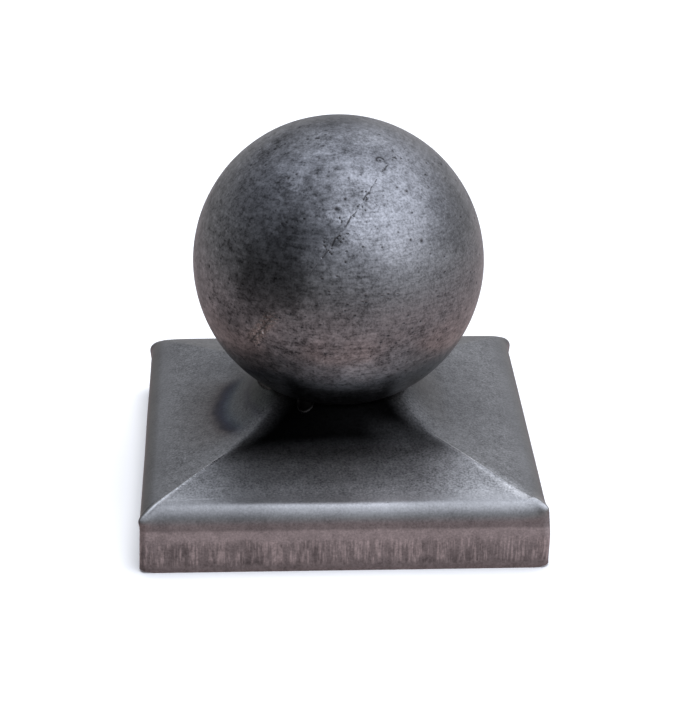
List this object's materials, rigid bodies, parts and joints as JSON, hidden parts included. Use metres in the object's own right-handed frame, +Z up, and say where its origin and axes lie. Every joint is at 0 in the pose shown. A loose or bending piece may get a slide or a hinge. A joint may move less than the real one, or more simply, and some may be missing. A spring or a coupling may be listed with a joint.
{
  "type": "ball post cap",
  "caption": "Square pressed-steel post cap with a short skirt, a low four-sided roof and a steel ball welded on its drawn collar. It slips over the top of a square post.",
  "frame": {"origin": "centre of the underside, on the axis of the cap, at the level of the skirt's lower edge", "axes": "+Z up through the ball; X and Y square to the skirt's sides, with -Y the front in the picture and -X the side with the run of weld"},
  "size_m": [0.104, 0.104, 0.1011],
  "materials": {
    "pressed_cap": "bare cold-formed sheet steel, grey, with drawing streaks on the skirt, bright bends and a heat tint beside the weld",
    "ball": "bare ground steel, darker, with fine pits, scratches and the dark hairline of its ground seam",
    "weld": "bare rippled weld metal"
  },
  "bodies": {
    "root": {"pressed_cap": "pressed_cap", "ball": "ball", "weld_run": "weld", "weld_tack": "weld"}
  },
  "joints": []
}
